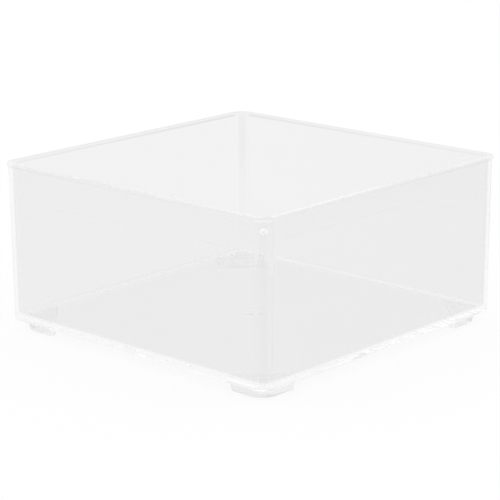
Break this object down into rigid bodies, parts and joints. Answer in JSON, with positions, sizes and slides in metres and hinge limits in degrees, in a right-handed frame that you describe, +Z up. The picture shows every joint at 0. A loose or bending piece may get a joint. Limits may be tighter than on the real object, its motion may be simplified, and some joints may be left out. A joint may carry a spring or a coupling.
{
  "type": "storage box",
  "caption": "Open square storage box of clear plastic with a thin rim lip and low three-cornered feet, for small things in a drawer or on a shelf.",
  "frame": {"origin": "under the middle of the box, on the surface that the feet stand on", "axes": "X and Y run along the walls, with the front at -Y, and +Z points up out of the open top"},
  "size_m": [0.152, 0.152, 0.0745],
  "materials": {
    "tub_plastic": "clear, polished",
    "foot_plastic": "clear, polished"
  },
  "bodies": {
    "root": {"tub": "tub_plastic", "foot_front_left": "foot_plastic", "foot_front_right": "foot_plastic", "foot_back_right": "foot_plastic", "foot_back_left": "foot_plastic"}
  },
  "joints": []
}
